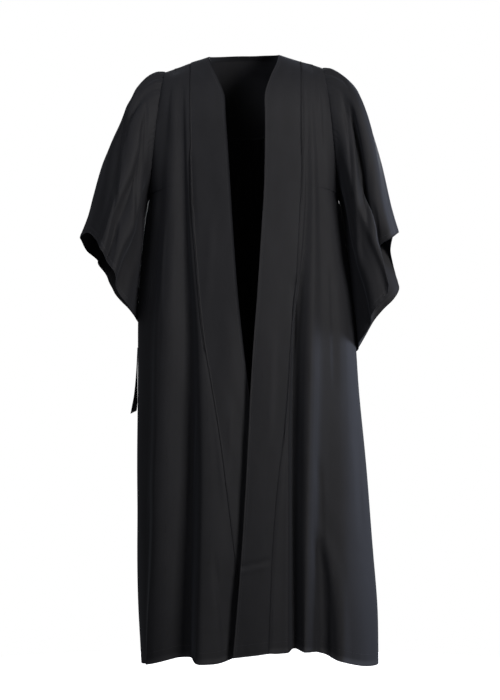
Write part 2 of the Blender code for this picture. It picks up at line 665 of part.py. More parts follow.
def side_tape():
    """Narrow tape end: its top lies along the side seam and it twists to face the front as it falls."""
    share = np.linspace(0, 1, 9)
    reach = curve(TAPE, share, 1)
    height = curve(TAPE, share, 2)
    turn = np.radians(curve(TAPE, share, 3))
    outer = np.stack([-reach, np.full(len(share), 3.0), height], axis=-1)
    inward = np.stack([np.sin(turn), np.cos(turn), np.zeros(len(share))], axis=-1)
    inner = outer + inward * TAPE_WIDTH
    inner[-1, 2] += 6
    points = np.stack([outer, (outer + inner) / 2, inner])
    shell("side_tape", points, normals_of(points, False), TAPE_WALL, False, cloth("side_tape", 0.016))


for item in list(bpy.data.objects):
    bpy.data.objects.remove(item, do_unlink=True)
build()
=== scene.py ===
"""Looks of an open-front graduation gown of matte black cloth, hollow and in its worn shape.

Lengths in the tables are millimetres and turns are degrees; meshes are in metres. The front faces -Y, +X
is the wearer's left and +Z is up. The origin is the centre of the shoulders at the height of the neck
points. Side -1 is the wearer's right, side 1 the left. A reach is a distance from the middle plane.
Each cut piece is a thin shell on a grid: columns go across the cloth and rows go down it.
"""

import bpy
import numpy as np
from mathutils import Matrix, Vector


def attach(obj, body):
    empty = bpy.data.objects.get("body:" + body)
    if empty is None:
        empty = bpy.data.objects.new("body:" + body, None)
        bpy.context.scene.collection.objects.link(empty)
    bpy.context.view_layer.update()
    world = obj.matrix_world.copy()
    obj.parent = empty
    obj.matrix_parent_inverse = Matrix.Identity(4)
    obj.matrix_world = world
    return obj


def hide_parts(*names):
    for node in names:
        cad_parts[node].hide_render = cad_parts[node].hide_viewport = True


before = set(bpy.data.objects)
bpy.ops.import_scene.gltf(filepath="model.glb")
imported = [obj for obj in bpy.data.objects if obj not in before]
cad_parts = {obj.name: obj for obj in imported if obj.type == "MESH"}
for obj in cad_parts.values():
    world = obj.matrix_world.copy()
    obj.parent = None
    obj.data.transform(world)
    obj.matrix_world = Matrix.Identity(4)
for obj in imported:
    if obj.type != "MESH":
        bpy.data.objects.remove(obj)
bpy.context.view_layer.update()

MM = 0.001
SIDE_WORDS = ((-1, "right"), (1, "left"))

# Thickness of the shells; half thickness and pitch of the stitches, and the share of the pitch that a
# stitch reaches to each side of its middle
THICK = 0.9
TAPE_THICK = 0.8
STITCH_HALF = 0.28
STITCH_PITCH = 3.2
STITCH_REACH = 0.32

# Steps of the fine grids to one step of the coarse ones
FRONT_ACROSS = 6
YOKE_ACROSS = 6
BACK_ACROSS = 4
SLEEVE_ACROSS = 6
DOWN = 8
BAND_DOWN = 3
SLEEVE_DOWN = 12

# Width of the turned hems and of the stitched edges, and how much lower their stitched lines lie
HEM_WIDE = 24
HEM_DIP = 0.5
CUFF_WIDE = 11
CUFF_DIP = 0.45
EDGE_STITCH = 6
EDGE_DIP = 0.3

# Pitch, reach and stand of the small gathers beside an edge; depth and reach of the roll into a seam
HEM_PUCKER = (23, 40, 0.5)
CUFF_PUCKER = (19, 26, 0.5)
HEAD_PUCKER = (9, 34, 0.7)
SEAM_ROLL = (0.9, 3.5)
HEAD_ROLL = (0.9, 3.0)
RIPPLE = 0.45
SLEEVE_RIPPLE = 0.4
YOKE_RIPPLE = 0.3

# Camera, floor and lamps, in metres and watts
SENSOR = 36.0
CAMERA_PLACE = (0.0125, -4.0, -0.611)
CAMERA_SHOWS = 1.4595
FLOOR_REACH = 1.7
FLOOR_DARK = 0.7
FLOOR_Z = -1.50
FLOOR_SIDES = 64
LAMPS = [
    ("key", (1.55, -1.9, 0.30), (0, 0, -0.5), 0.8, 47, "FFFDFA"),
    ("top", (-1.1, -1.2, 0.9), (-0.15, 0, -0.1), 0.9, 10, "F6F8FF"),
    ("side", (2.2, 0.5, -0.35), (0.1, 0, -0.75), 0.9, 34, "DCE6FF"),
    ("rear", (0.5, 2.4, 0.3), (0, 0.1, -0.5), 1.2, 32, "FAFBFF"),
]

# Neck, shoulder tips, armholes and yoke
NECK_HALF = 73.0
NECK_DEPTH = 72.0
NECK_RISE = 10.0
NECK_Z = {-1: 0.0, 1: 4.0}
TIP_HALF = 163.0
TIP_Z = {-1: -32.0, 1: -24.0}
UNDERARM_HALF = 195.0
UNDERARM_Z = -292.0
ARM_FRONT = 64.0
ARM_BACK = 76.0
ARM_STEPS = 10
YOKE_STEPS = 4
YOKE_ROWS = 2 * YOKE_STEPS + 1
YOKE_SOFTENING = 9
YOKE_DROP = 160.0
ROUND_FRONT = 150.0
ROUND_BACK = 92.0

# A level section is an oval of this power; the power on its depth passes from the shoulders' to the skirt's
SECTION_POWER = 2.4
SECTION_TOP = 0.95
SECTION_LOW = 0.5

# Width and depth of the right front's tuck behind the left band, at the waist and at the hem
TUCK_WIDE = (46, 64)
TUCK_DEEP = (16, 23)
OVER_LIFT = 3

# Greatest stand of flutes, gathers and sleeve-head pleats, and how much a fold's stand moves the hem
FLUTE_DEEP = 25
GATHER_DEEP = 2.3
PLEAT_DEEP = 2.2
FOLD_LIFT = 0.2

SIDE_LEVELS = [-330, -385, -450, -525, -610, -705, -810, -920, -1035, -1150, -1262]
BAND_COLUMNS = 3
BACK_GATHERS = 18
BACK_COLUMNS = 4 * BACK_GATHERS
BACK_FLUTES = 8

# height, reach of the right side seam, reach of the left side seam
SIDES = [
    (-292, 195, 195),
    (-340, 204, 205),
    (-400, 211, 213),
    (-480, 217, 223),
    (-560, 220, 231),
    (-650, 221, 236),
    (-750, 222, 245),
    (-870, 222, 256),
    (-1000, 222, 266),
    (-1130, 220, 277),
    (-1262, 214, 280),
]

# height, depth of the front at the middle, depth of the back at the middle
DEPTHS = [
    (10, 98, 112),
    (-150, 105, 120),
    (-300, 105, 128),
    (-450, 111, 134),
    (-650, 121, 148),
    (-850, 130, 165),
    (-1050, 140, 182),
    (-1262, 150, 198),
]

# height, reach of the front edge, for each side
EDGES = {
    -1: [(0, 73), (-19, 68), (-47, 57), (-63, 49), (-85, 40.5), (-148, 36), (-201, 32), (-331, 24),
         (-473, 14), (-613, 0), (-813, -26), (-1034, -54), (-1236, -73)],
    1: [(4, 73), (-24, 66), (-54, 53), (-81, 43), (-174, 43), (-278, 41), (-345, 37), (-500, 27),
        (-635, 16.6), (-799, 8.5), (-951, 0.4), (-1120, -12), (-1236, -22)],
}

# height, reach of the seam between band and front, for each side
BAND_SEAMS = {
    -1: [(-13, 110), (-163, 108), (-306, 105), (-400, 98), (-510, 89), (-611, 77.5), (-698, 62), (-806, 45.5),
         (-948, 29), (-1100, 11), (-1240, -3)],
    1: [(-10, 117), (-164, 116), (-225, 118), (-337, 114), (-449, 108), (-550, 99.5), (-635, 91),
        (-712, 89), (-813, 77), (-923, 65), (-1044, 57), (-1236, 50)],
}

# hem height at the front edge, the band seam and the side seam, for each side
HEMS = {-1: (-1237, -1238, -1262), 1: (-1234, -1226, -1262)}
BACK_HEM = -1256.0

# reach, lift of the hem there over the straight run between those heights, for each side
HEM_LIFTS = {
    -1: [(-73, 20), (-3, 18), (24, 9), (44, 5), (84, 8), (146, 14), (190, 8), (214, 0)],
    1: [(-22, 4), (50, 6), (100, 15), (126, 20), (172, 12), (200, 8), (240, 2), (280, 0)],
}

# The fronts' long creases. Each line: columns between the line before it and itself, its reach at each
# of the fold heights, and how far it stands out there (ridges positive, troughs negative).
FOLD_HEIGHTS = (-40, -300, -450, -600, -900, -1262)
SEAM_STAND = {-1: (0, 0, 1, 1, 2, 4), 1: (0, 0, 1, 2, 3, 3)}
FOLD_LINES = {
    -1: [
        (3, (119, 112, 102, 87, 79, 85), (0, -1, -1, 1, 9, 15)),
        (6, (127, 122, 119, 115, 117, 124), (0, -8, -14, -20, -27, -31)),
        (6, (139, 150, 158, 164, 176, 190), (0, 5, 6, 7, 9, 12)),
        (4, (151, 176, 188, 195, 200, 205), (0, -2, -3, -4, -3, -3)),
        (7, None, (0, 0, 0, 0, 0, 0)),
    ],
    1: [
        (3, (122, 122, 113, 98, 88, 86), (0, 0, -2, -3, 1, 2)),
        (4, (128, 128, 119, 105, 102, 106), (0, -2, -7, -18, -24, -24)),
        (4, (135, 142, 141, 134, 126, 121), (0, 3, 4, 6, 9, 8)),
        (4, (143, 156, 160, 162, 158, 164), (0, -1, -1, 0, -2, -22)),
        (4, (152, 178, 192, 204, 208, 197), (0, 2, 3, 5, 6, 13)),
        (7, None, (0, 0, 0, 0, 0, 0)),
    ],
}

# share of the length, reach and height of the top, reach and height of the bottom, depth front and back
SLEEVE_RINGS = {
    -1: [
        (0.08, 184, -35, 201, -306, 72, 84),
        (0.18, 211, -52, 204, -338, 82, 92),
        (0.30, 233, -82, 206, -374, 90, 98),
        (0.45, 253, -126, 209, -420, 97, 106),
        (0.60, 275, -176, 213, -464, 104, 112),
        (0.76, 299, -245, 215, -506, 110, 119),
        (0.90, 325, -335, 216, -543, 114, 124),
        (1.00, 340, -372, 217, -562, 116, 126),
    ],
    1: [
        (0.08, 183, -27, 201, -308, 72, 84),
        (0.18, 208, -42, 204, -342, 82, 92),
        (0.30, 232, -66, 209, -388, 90, 98),
        (0.45, 252, -115, 215, -445, 97, 106),
        (0.60, 271, -168, 221, -496, 104, 112),
        (0.76, 290, -235, 226, -545, 110, 119),
        (0.90, 310, -320, 229, -585, 112, 122),
        (1.00, 324, -365, 231, -612, 112, 124),
    ],
}
# The bottom of a sleeve hangs this far behind the side seam, and the sleeve stays this far off the body.
SLEEVE_BEHIND = 38.0
SLEEVE_CLEAR = 3.8

# turn from the top towards the front, reach, height and depth of the cuff's edge
CUFFS = {
    -1: [
        (0, 341, -377, -8),
        (25, 322, -370, -62),
        (50, 301, -386, -100),
        (75, 288, -408, -118),
        (100, 277, -430, -120),
        (125, 261, -462, -110),
        (150, 241, -512, -80),
        (180, 217.5, -558, 38),
        (210, 250, -518, 86),
        (240, 288, -470, 116),
        (270, 308, -436, 128),
        (300, 322, -415, 112),
        (330, 338, -394, 66),
    ],
    1: [
        (0, 320, -368, -34),
        (25, 300, -383, -86),
        (50, 275, -402, -82),
        (62, 274, -418, -80),
        (80, 285, -444, -104),
        (95, 293.5, -473, -112),
        (108, 291, -498, -104),
        (125, 270, -525, -98),
        (145, 250, -561, -80),
        (163, 237, -598, -34),
        (180, 231, -617, 36),
        (200, 240, -610, 68),
        (215, 259, -580, 92),
        (230, 290, -531, 112),
        (243, 318, -503, 118),
        (253, 332, -480, 120),
        (276, 323, -440, 118),
        (300, 313, -395, 104),
        (330, 314, -370, 46),
    ],
}

# turn at the shoulder, turn at the cuff, share where it starts, share of full depth,
# share where it ends (over 1 for none), half width in turn, depth
SLEEVE_FOLDS = {
    -1: [
        (44, 40, 0.06, 0.26, 0.62, 15, -9),
        (92, 98, 0.10, 0.35, 1.50, 14, -8),
        (114, 118, 0.10, 0.35, 1.50, 13, 6),
        (138, 138, 0.06, 0.25, 1.50, 16, -12),
        (72, 76, 0.20, 0.60, 1.50, 20, 7),
        (228, 222, 0.10, 0.45, 1.50, 17, -10),
        (262, 258, 0.10, 0.45, 1.50, 20, 8),
        (302, 298, 0.08, 0.50, 1.50, 18, -11),
    ],
    1: [
        (68, 61, 0.04, 0.36, 0.98, 24, -18),
        (30, 30, 0.10, 0.50, 1.50, 18, 5),
        (101, 100, 0.10, 0.35, 0.93, 16, 7),
        (124, 122, 0.15, 0.50, 1.50, 14, 4),
        (146, 146, 0.06, 0.25, 1.50, 14, -11),
        (236, 240, 0.10, 0.45, 1.50, 17, -10),
        (268, 270, 0.10, 0.45, 0.96, 18, 7),
        (304, 300, 0.08, 0.50, 0.96, 18, -11),
    ],
}
SLEEVE_ROWS = [0, 0.035, 0.08, 0.14, 0.22, 0.32, 0.43, 0.54, 0.65, 0.76, 0.88, 1.0]

# share, reach of the outer edge, height, turn of the width from fore-and-aft towards the front view
TAPE = [(0.0, 222.2, -606, 0), (0.3, 224.2, -648, 5), (0.65, 228.7, -700, 25), (1.0, 236.8, -744, 74)]
TAPE_WIDTH = 13.0
TAPE_DEPTH = 3.0
TAPE_SLANT = 6

# The band is a folded double strip laid over the front's edge: how far its edge stands proud on each side,
# how far the front's edge lies lower under it, and over what widths these run out
BAND_PROUD = {-1: 0.6, 1: 0.2}
BAND_ROLL = 26
FRONT_SUNK = 1.0
SUNK_REACH = 8

# Seam allowance of the sleeves inside the armholes and of the fronts under the yoke, and its drop
ALLOWANCE = 4.5
ALLOWANCE_DROP = 1.3

# Short creases of the fronts, in the front view: start, middle and end (x, z), width on the -X side and on
# the +X side (or below and above), stand
FRONT_CREASES = {
    -1: [
        (-108, -190, -104, -280, -96, -400, 14, 5, -2.2),
        (-140, -60, -146, -110, -150, -200, 9, 14, 1.3),
        (-150, -330, -160, -430, -162, -560, 7, 16, -1.6),
        (-174, -470, -180, -620, -184, -800, 12, 9, 1.8),
        (-100, -700, -104, -820, -112, -1010, 18, 8, -2.0),
        (-62, -1010, -46, -1120, -36, -1230, 12, 6, -3.0),
        (-60, -300, -70, -420, -78, -560, 14, 14, 1.0),
        (-20, -700, -26, -800, -30, -930, 12, 7, 1.4),
        (-186, -880, -192, -1010, -196, -1180, 8, 14, -1.7),
    ],
    1: [
        (100, -450, 104, -540, 100, -640, 10, 5, -2.5),
        (140, -960, 184, -1105, 191, -1370, 13, 28, 4.0),
        (146, -960, 162, -1110, 168, -1400, 20, 16, -5.5),
        (150, -820, 156, -900, 158, -1010, 14, 10, -2.0),
        (120, -60, 121, -150, 121, -235, 6, 4, -0.9),
        (150, -70, 156, -130, 158, -230, 14, 7, 1.4),
        (205, -330, 232, -520, 244, -700, 14, 14, 2.0),
        (176, -420, 182, -560, 184, -720, 8, 17, -1.8),
        (230, -740, 238, -860, 244, -1010, 16, 8, -1.6),
        (60, -560, 58, -680, 50, -820, 16, 9, 1.3),
    ],
}

# A sharp fold across the left band, left from its packing, with a low ridge under it
BAND_CREASES = {
    -1: [],
    1: [
        (-30, -1051, 14, -1044, 70, -1030, 5, 10, -1.8),
        (-30, -1061, 12, -1055, 64, -1042, 5, 5, 1.1),
    ],
}

# The same for each sleeve's front and rear layer
SLEEVE_CREASES = {
    -1: [
        (-205, -110, -222, -230, -226, -420, 30, 8, 6.5),
        (-244, -100, -258, -230, -264, -420, 27, 10, -5.5),
        (-226, -62, -242, -115, -256, -190, 5, 10, -2.2),
        (-205, -90, -201, -150, -208, -260, 5, 8, -1.8),
        (-282, -170, -300, -260, -318, -340, 16, 9, 2.0),
        (-250, -330, -262, -400, -272, -450, 9, 5, -1.4),
        (-196, -45, -210, -62, -220, -92, 4, 6, -1.5),
    ],
    1: [
        (210, -70, 249, -203, 268, -420, 13, 26, 8.0),
        (216, -100, 227, -272, 238, -500, 8, 9, 4.0),
        (216, -85, 241, -244, 253, -420, 12, 9, -4.5),
        (196, -70, 212, -150, 220, -290, 7, 9, -2.0),
        (262, -300, 272, -350, 274, -410, 8, 5, -2.2),
        (186, -38, 204, -54, 218, -84, 4, 6, -1.5),
    ],
}
REAR_SLEEVE_CREASES = {
    -1: [
        (-214, -90, -226, -180, -236, -330, 7, 12, -2.2),
        (-236, -130, -262, -240, -280, -370, 13, 7, 1.9),
        (-206, -220, -214, -320, -226, -450, 6, 11, -1.9),
        (-270, -180, -296, -270, -316, -370, 6, 12, -1.7),
    ],
    1: [
        (212, -80, 224, -190, 238, -350, 12, 6, -2.3),
        (238, -120, 258, -230, 284, -400, 8, 14, 1.8),
        (205, -230, 218, -330, 230, -480, 11, 6, -1.8),
        (266, -200, 282, -290, 300, -400, 12, 7, -1.9),
    ],
}

# Short creases of the back, from the gathers and the armholes down
BACK_CREASES = [
    (-168, -250, -150, -330, -142, -450, 8, 14, -2.0),
    (-120, -190, -124, -290, -118, -420, 12, 7, 1.6),
    (-70, -180, -66, -260, -74, -350, 6, 11, -1.5),
    (-22, -182, -28, -300, -24, -460, 11, 7, 1.4),
    (28, -180, 34, -250, 30, -330, 6, 10, -1.5),
    (80, -186, 86, -300, 96, -440, 12, 7, 1.7),
    (130, -200, 134, -270, 128, -360, 7, 12, -1.4),
    (172, -255, 154, -330, 148, -460, 14, 8, -2.0),
    (-40, -560, -52, -700, -50, -880, 9, 16, 1.8),
    (96, -620, 104, -780, 100, -940, 16, 9, -1.9),
    (-140, -640, -150, -790, -148, -980, 9, 15, -1.8),
]


def curve(rows, key, column):
    """Value of a table's column at a key: a smooth line through the rows that never overshoots them.

    It is a cubic between two rows. Its slope at a row is the harmonic mean of the slopes beside it, or 0
    where they differ in sign.
    """
    rows = sorted(rows)
    x = np.array([row[0] for row in rows], float)
    y = np.array([row[column] for row in rows], float)
    step = np.diff(x)
    slope = np.diff(y) / step
    tangent = np.zeros(len(x))
    same = slope[:-1] * slope[1:] > 0
    mean = 2 * slope[:-1] * slope[1:] / np.where(same, slope[:-1] + slope[1:], 1)
    tangent[1:-1] = np.where(same, mean, 0)
    tangent[0], tangent[-1] = slope[0], slope[-1]
    key = np.clip(np.asarray(key, float), x[0], x[-1])
    i = np.clip(np.searchsorted(x, key) - 1, 0, len(step) - 1)
    t = (key - x[i]) / step[i]
    rise = y[i] * (1 + 2 * t) * (1 - t) ** 2 + y[i + 1] * t * t * (3 - 2 * t)
    return rise + step[i] * (tangent[i] * t * (1 - t) ** 2 - tangent[i + 1] * t * t * (1 - t))


def ease(value):
    """A soft step from 0 to 1: three squares less two cubes of the value."""
    t = np.clip(value, 0, 1)
    return t * t * (3 - 2 * t)


def bump(offset, inner, outer):
    """A squared cosine: 1 at no offset, 0 at the inner width below it and the outer width above it."""
    width = np.where(offset < 0, inner, outer)
    return np.cos(np.clip(offset / width, -1, 1) * np.pi / 2) ** 2


def rounding(drop, size):
    """Share of full depth at a drop below a rounded shoulder: a quarter circle of the drop over the size."""
    return np.sqrt(1 - (1 - np.clip(drop / size, 0, 1)) ** 2)


def unit(vectors):
    """Vectors divided by their lengths."""
    return vectors / np.maximum(np.linalg.norm(vectors, axis=-1, keepdims=True), 1e-9)


def mix(a, b, share):
    """The first value at share 0, the second at share 1, and straight between them."""
    return a + (b - a) * share


def shoulder_height(side, reach):
    """Height of the shoulder seam: straight from the neck point to the tip."""
    share = (np.abs(reach) - NECK_HALF) / (TIP_HALF - NECK_HALF)
    return mix(NECK_Z[side], TIP_Z[side], np.clip(share, 0, 1))


def edge_levels(side):
    """Reach, front depth, back depth and height down the armhole and the side seam."""
    turn = np.radians(np.arange(ARM_STEPS + 1) * 180 / ARM_STEPS)
    middle = (TIP_Z[side] + UNDERARM_Z) / 2
    half = (TIP_Z[side] - UNDERARM_Z) / 2
    height = middle + half * np.cos(turn)
    fall = (TIP_Z[side] - height) / (2 * half)
    reach = mix(TIP_HALF, UNDERARM_HALF, fall ** 0.8)
    column = 1 if side < 0 else 2
    down = np.array(SIDE_LEVELS, float)
    none = np.zeros(len(down))
    return (np.append(reach, curve(SIDES, down, column)), np.append(ARM_FRONT * np.sin(turn), none),
            np.append(ARM_BACK * np.sin(turn), none), np.append(height, down))


def section_depth(side, edge, full, share, height, reach):
    """Depth of a section from its edge to its full depth in the middle, rounder below the armhole.

    Near the armhole the edge stands out by the reach of the armhole, which runs out softly below it.
    """
    soft = reach * rounding(TIP_Z[side] - height, 90) * ease((height + 440) / 230)
    near = mix(soft, edge, share ** 20)
    power = mix(SECTION_TOP, SECTION_LOW, ease((-height - 120) / 330))
    return near + (full - near) * (1 - share ** SECTION_POWER) ** power


def side_reach(side, depth, height):
    """Reach of the body below the armhole at a depth and height: section_depth solved for its share."""
    height = np.minimum(height, UNDERARM_Z)
    shares = np.linspace(1, 0.7, 31)
    fore = depth < 0
    full = np.where(fore, curve(DEPTHS, height, 1), curve(DEPTHS, height, 2))
    stand = np.where(fore, ARM_FRONT, ARM_BACK)
    deep = np.array([section_depth(side, 0, full, share, height, stand) for share in shares])
    away = np.abs(depth)
    index = np.clip((deep < away).sum(0), 1, len(shares) - 1)
    low, high = (np.take_along_axis(deep, (index - k)[None], 0)[0] for k in (1, 0))
    part = np.clip((away - low) / np.maximum(high - low, 1e-6), 0, 1)
    return curve(SIDES, height, 1 if side < 0 else 2) * (shares[index - 1] - 0.01 * part)


def normals_of(points, closed):
    """Unit normals of a grid from its neighbours' differences, outward for the grids used here."""
    if closed:
        around = np.roll(points, -1, 0) - np.roll(points, 1, 0)
    else:
        around = np.gradient(points, axis=0)
    return unit(np.cross(around, np.gradient(points, axis=1)))


def level_curve(values, height):
    """A fold line's reach or stand, given at the fold heights, at other heights."""
    return curve(list(zip(FOLD_HEIGHTS, values)), height, 1)


def front_grid(side):
    """Points of one front with its band: rows run straight between front edge, band seam and side.

    Columns follow the fold lines, and between two lines the stand passes over along a cosine.
    """
    edge_reach, edge_front, _, edge_z = edge_levels(side)
    fall = (edge_z[0] - edge_z) / (edge_z[0] - edge_z[-1])
    hem = HEMS[side]
    seam_top = BAND_SEAMS[side][0][1]
    z_in = mix(NECK_Z[side], hem[0], fall)
    z_mid = mix(shoulder_height(side, seam_top), hem[1], fall)
    x_in = curve(EDGES[side], z_in, 1)
    x_mid = curve(BAND_SEAMS[side], z_mid, 1)
    x_mid[0] = seam_top
    row_z = (z_mid + edge_z) / 2
    last_x, last_stand = x_mid, level_curve(SEAM_STAND[side], row_z)
    columns = []
    for share in np.linspace(0, 1, BAND_COLUMNS + 1):
        columns.append((mix(x_in, x_mid, share), mix(z_in, z_mid, share), last_stand * share))
    for count, line, stand in FOLD_LINES[side]:
        next_x = edge_reach if line is None else level_curve(line, row_z)
        next_stand = level_curve(stand, row_z)
        for share in np.linspace(0, 1, count + 1)[1:]:
            part = mix(share, np.sin(share * np.pi / 2), fall ** 0.3) if line is None else share
            x = mix(last_x, next_x, part)
            z = mix(z_mid, edge_z, (x - x_mid) / (edge_reach - x_mid))
            columns.append((x, z, mix(last_stand, next_stand, 0.5 - 0.5 * np.cos(np.pi * share))))
        last_x, last_stand = next_x, next_stand
    reach, height, folds = [np.array([c[i] for c in columns]) for i in range(3)]
    share = np.clip(reach / edge_reach, 0, 1)
    full = rounding(shoulder_height(side, reach) - height, ROUND_FRONT) * curve(DEPTHS, height, 1)
    forward = section_depth(side, edge_front, full, share, height, ARM_FRONT)
    across = side * reach
    if side < 0:
        over = curve(EDGES[1], height, 1)
        lower = ease((-1000 - height) / 120)
        wide = mix(*TUCK_WIDE, lower)
        tuck = ease((across - over + wide) / wide) * ease((-480 - height) / 160)
        forward = forward - mix(*TUCK_DEEP, lower) * tuck
    else:
        forward = forward + OVER_LIFT * ease((NECK_HALF - reach) / 40) * ease((-300 - height) / 200)
    points = np.stack([across, -forward, height], axis=-1)
    outward = normals_of(points, False) * -side
    outward[..., 2] = 0
    points = points + unit(outward) * folds[..., None]
    drop = np.clip((height + 700) / -540, 0, 1) ** 2
    lift = curve(HEM_LIFTS[side], reach, 1) - FOLD_LIFT * np.clip(folds, -20, 20)
    points[..., 2] += lift * drop
    return points


def edge_at(values, rows):
    """Values given down the armhole and side seam, at rows that may lie between them."""
    return np.interp(rows, np.arange(len(values)), values)


def back_sections(row, lateral, top, height):
    """Points of the back's plain shape on one row: lateral share, inner round-off and height given."""
    points = np.zeros((len(lateral), 3))
    for side in (-1, 1):
        reach, _, rear, _ = edge_levels(side)
        here = (lateral < 0) if side < 0 else (lateral >= 0)
        share = np.clip(np.abs(lateral[here]), 0, 1)
        full = top[here] * curve(DEPTHS, height[here], 2)
        points[here, 0] = side * np.abs(lateral[here]) * edge_at(reach, row)
        points[here, 1] = section_depth(side, edge_at(rear, row), full, share, height[here], ARM_BACK)
        points[here, 2] = height[here]
    return points


def yoke_grid():
    """Shoulder piece: columns fan from the shoulder seams and the back of the neck to the gathered seam."""
    count = BACK_COLUMNS // 2
    u = np.linspace(-1, 1, count + 1)
    inside = np.abs(u) <= 0.5
    turn = np.clip(u / 0.5, -1, 1) * np.pi / 2
    outer = TIP_HALF - (TIP_HALF - NECK_HALF) * (1 - np.abs(u)) / 0.5
    top_x = np.where(inside, NECK_HALF * np.sin(turn), np.sign(u) * outer)
    top_y = np.where(inside, NECK_DEPTH * np.cos(turn), 0.0)
    line = np.where(u < 0, shoulder_height(-1, top_x), shoulder_height(1, top_x))
    neck = mix(NECK_Z[-1], NECK_Z[1], np.clip((top_x + NECK_HALF) / (2 * NECK_HALF), 0, 1))
    top_z = np.where(inside, neck + NECK_RISE * np.cos(turn), line)
    points = np.zeros((count + 1, YOKE_ROWS, 3))
    levels = {side: edge_levels(side) for side in (-1, 1)}
    tip = np.where(u < 0, levels[-1][0][YOKE_STEPS], levels[1][0][YOKE_STEPS])
    end = np.where(u < 0, levels[-1][3][YOKE_STEPS], levels[1][3][YOKE_STEPS])
    low_z = mix(-YOKE_DROP, end, np.abs(u) ** 2.2)
    for index, row in enumerate(np.linspace(0, YOKE_STEPS, YOKE_ROWS)):
        z_edge = np.where(u < 0, edge_at(levels[-1][3], row), edge_at(levels[1][3], row))
        z_tip = np.where(u < 0, TIP_Z[-1], TIP_Z[1])
        fall = (z_tip - z_edge) / (z_tip - end)
        x_edge = np.where(u < 0, edge_at(levels[-1][0], row), edge_at(levels[1][0], row))
        x = mix(top_x, u * tip, fall) + u ** 3 * (x_edge - mix(TIP_HALF, tip, fall))
        z = mix(top_z, low_z, fall)
        lateral = np.clip(x / x_edge, -1, 1)
        first = np.abs(top_x / TIP_HALF)
        oval = np.maximum((1 - first ** SECTION_POWER) ** SECTION_TOP, 1e-6)
        base = top_y / (curve(DEPTHS, top_z, 2) * oval)
        top = base + (1 - base) * rounding(top_z - z, ROUND_BACK)
        points[:, index] = back_sections(row, lateral, top, z)
        points[:, index, 0] = lateral * x_edge
    for number in range(YOKE_SOFTENING):
        low = points[:, 1 + number // 3:-1]
        low[1:-1] = (low[:-2] + 2 * low[1:-1] + low[2:]) / 4
    return points


def back_grid(seam_line):
    """Back below the yoke: gathers at its top row that run out, and flutes that grow to the hem."""
    rows = [YOKE_STEPS, YOKE_STEPS + 0.14, YOKE_STEPS + 0.45] + list(range(YOKE_STEPS + 1, ARM_STEPS + 12))
    u = np.linspace(-1, 1, BACK_COLUMNS + 1)
    source = np.linspace(-1, 1, len(seam_line))
    line = np.stack([np.interp(u, source, seam_line[:, i]) for i in range(3)], axis=-1)
    start_share = np.zeros(len(u))
    points = np.zeros((len(u), len(rows), 3))
    fall_all = []
    for side in (-1, 1):
        reach, _, _, edge_z = edge_levels(side)
        here = u < 0 if side < 0 else u >= 0
        start_share[here] = line[here, 0] / reach[YOKE_STEPS]
    for index, row in enumerate(rows):
        z_edge = np.array([edge_at(edge_levels(-1 if v < 0 else 1)[3], row) for v in u])
        z_first = np.array([edge_levels(-1 if v < 0 else 1)[3][YOKE_STEPS] for v in u])
        fall = (z_first - z_edge) / (z_first - SIDE_LEVELS[-1])
        hem = mix(BACK_HEM, SIDE_LEVELS[-1], np.abs(u) ** 2)
        height = mix(line[:, 2], hem, fall)
        even = mix(u, np.sin(u * np.pi / 2), 0.85)
        lateral = mix(start_share, even, ease(fall / 0.25))
        if index == 0:
            points[:, 0] = line
        else:
            points[:, index] = back_sections(row, lateral, np.ones(len(u)), height)
        fall_all.append(fall)
    outward = normals_of(points, False)
    outward[..., 2] = 0
    outward = unit(outward)
    fall = np.array(fall_all).T
    place = u[:, None]
    wander = place + 0.035 * np.sin(5.3 * place + 2.2 * fall) + 0.02 * np.sin(11 * place - 3 * fall)
    phase = np.pi * BACK_FLUTES * wander
    strength = 0.86 + 0.16 * np.sin(7.1 * place + 1.3) + 0.08 * np.sin(17.0 * place)
    flute = np.cos(phase) + 0.18 * np.cos(2 * phase + 0.4)
    growth = FLUTE_DEEP * ease(fall / 0.9) ** 0.9
    beside = np.clip((1 - np.abs(place)) / 0.30, 0, 1) ** 1.3
    folds = flute * strength * growth * beside
    count = np.arange(BACK_COLUMNS + 1)
    wave = np.cos(np.pi * count / 2)[:, None]
    length = 0.16 + 0.10 * np.sin(count * 2.4)[:, None] ** 2
    drop = fall / length
    gather = GATHER_DEEP * wave * np.clip(fall / 0.006, 0, 1) * np.clip(1 - drop, 0, 1) ** 0.8
    gather = gather * np.clip((1 - np.abs(place)) / 0.05, 0, 1)
    total = folds + gather
    points = points + outward * total[..., None]
    points[..., 2] -= FOLD_LIFT * folds * fall ** 4
    return points


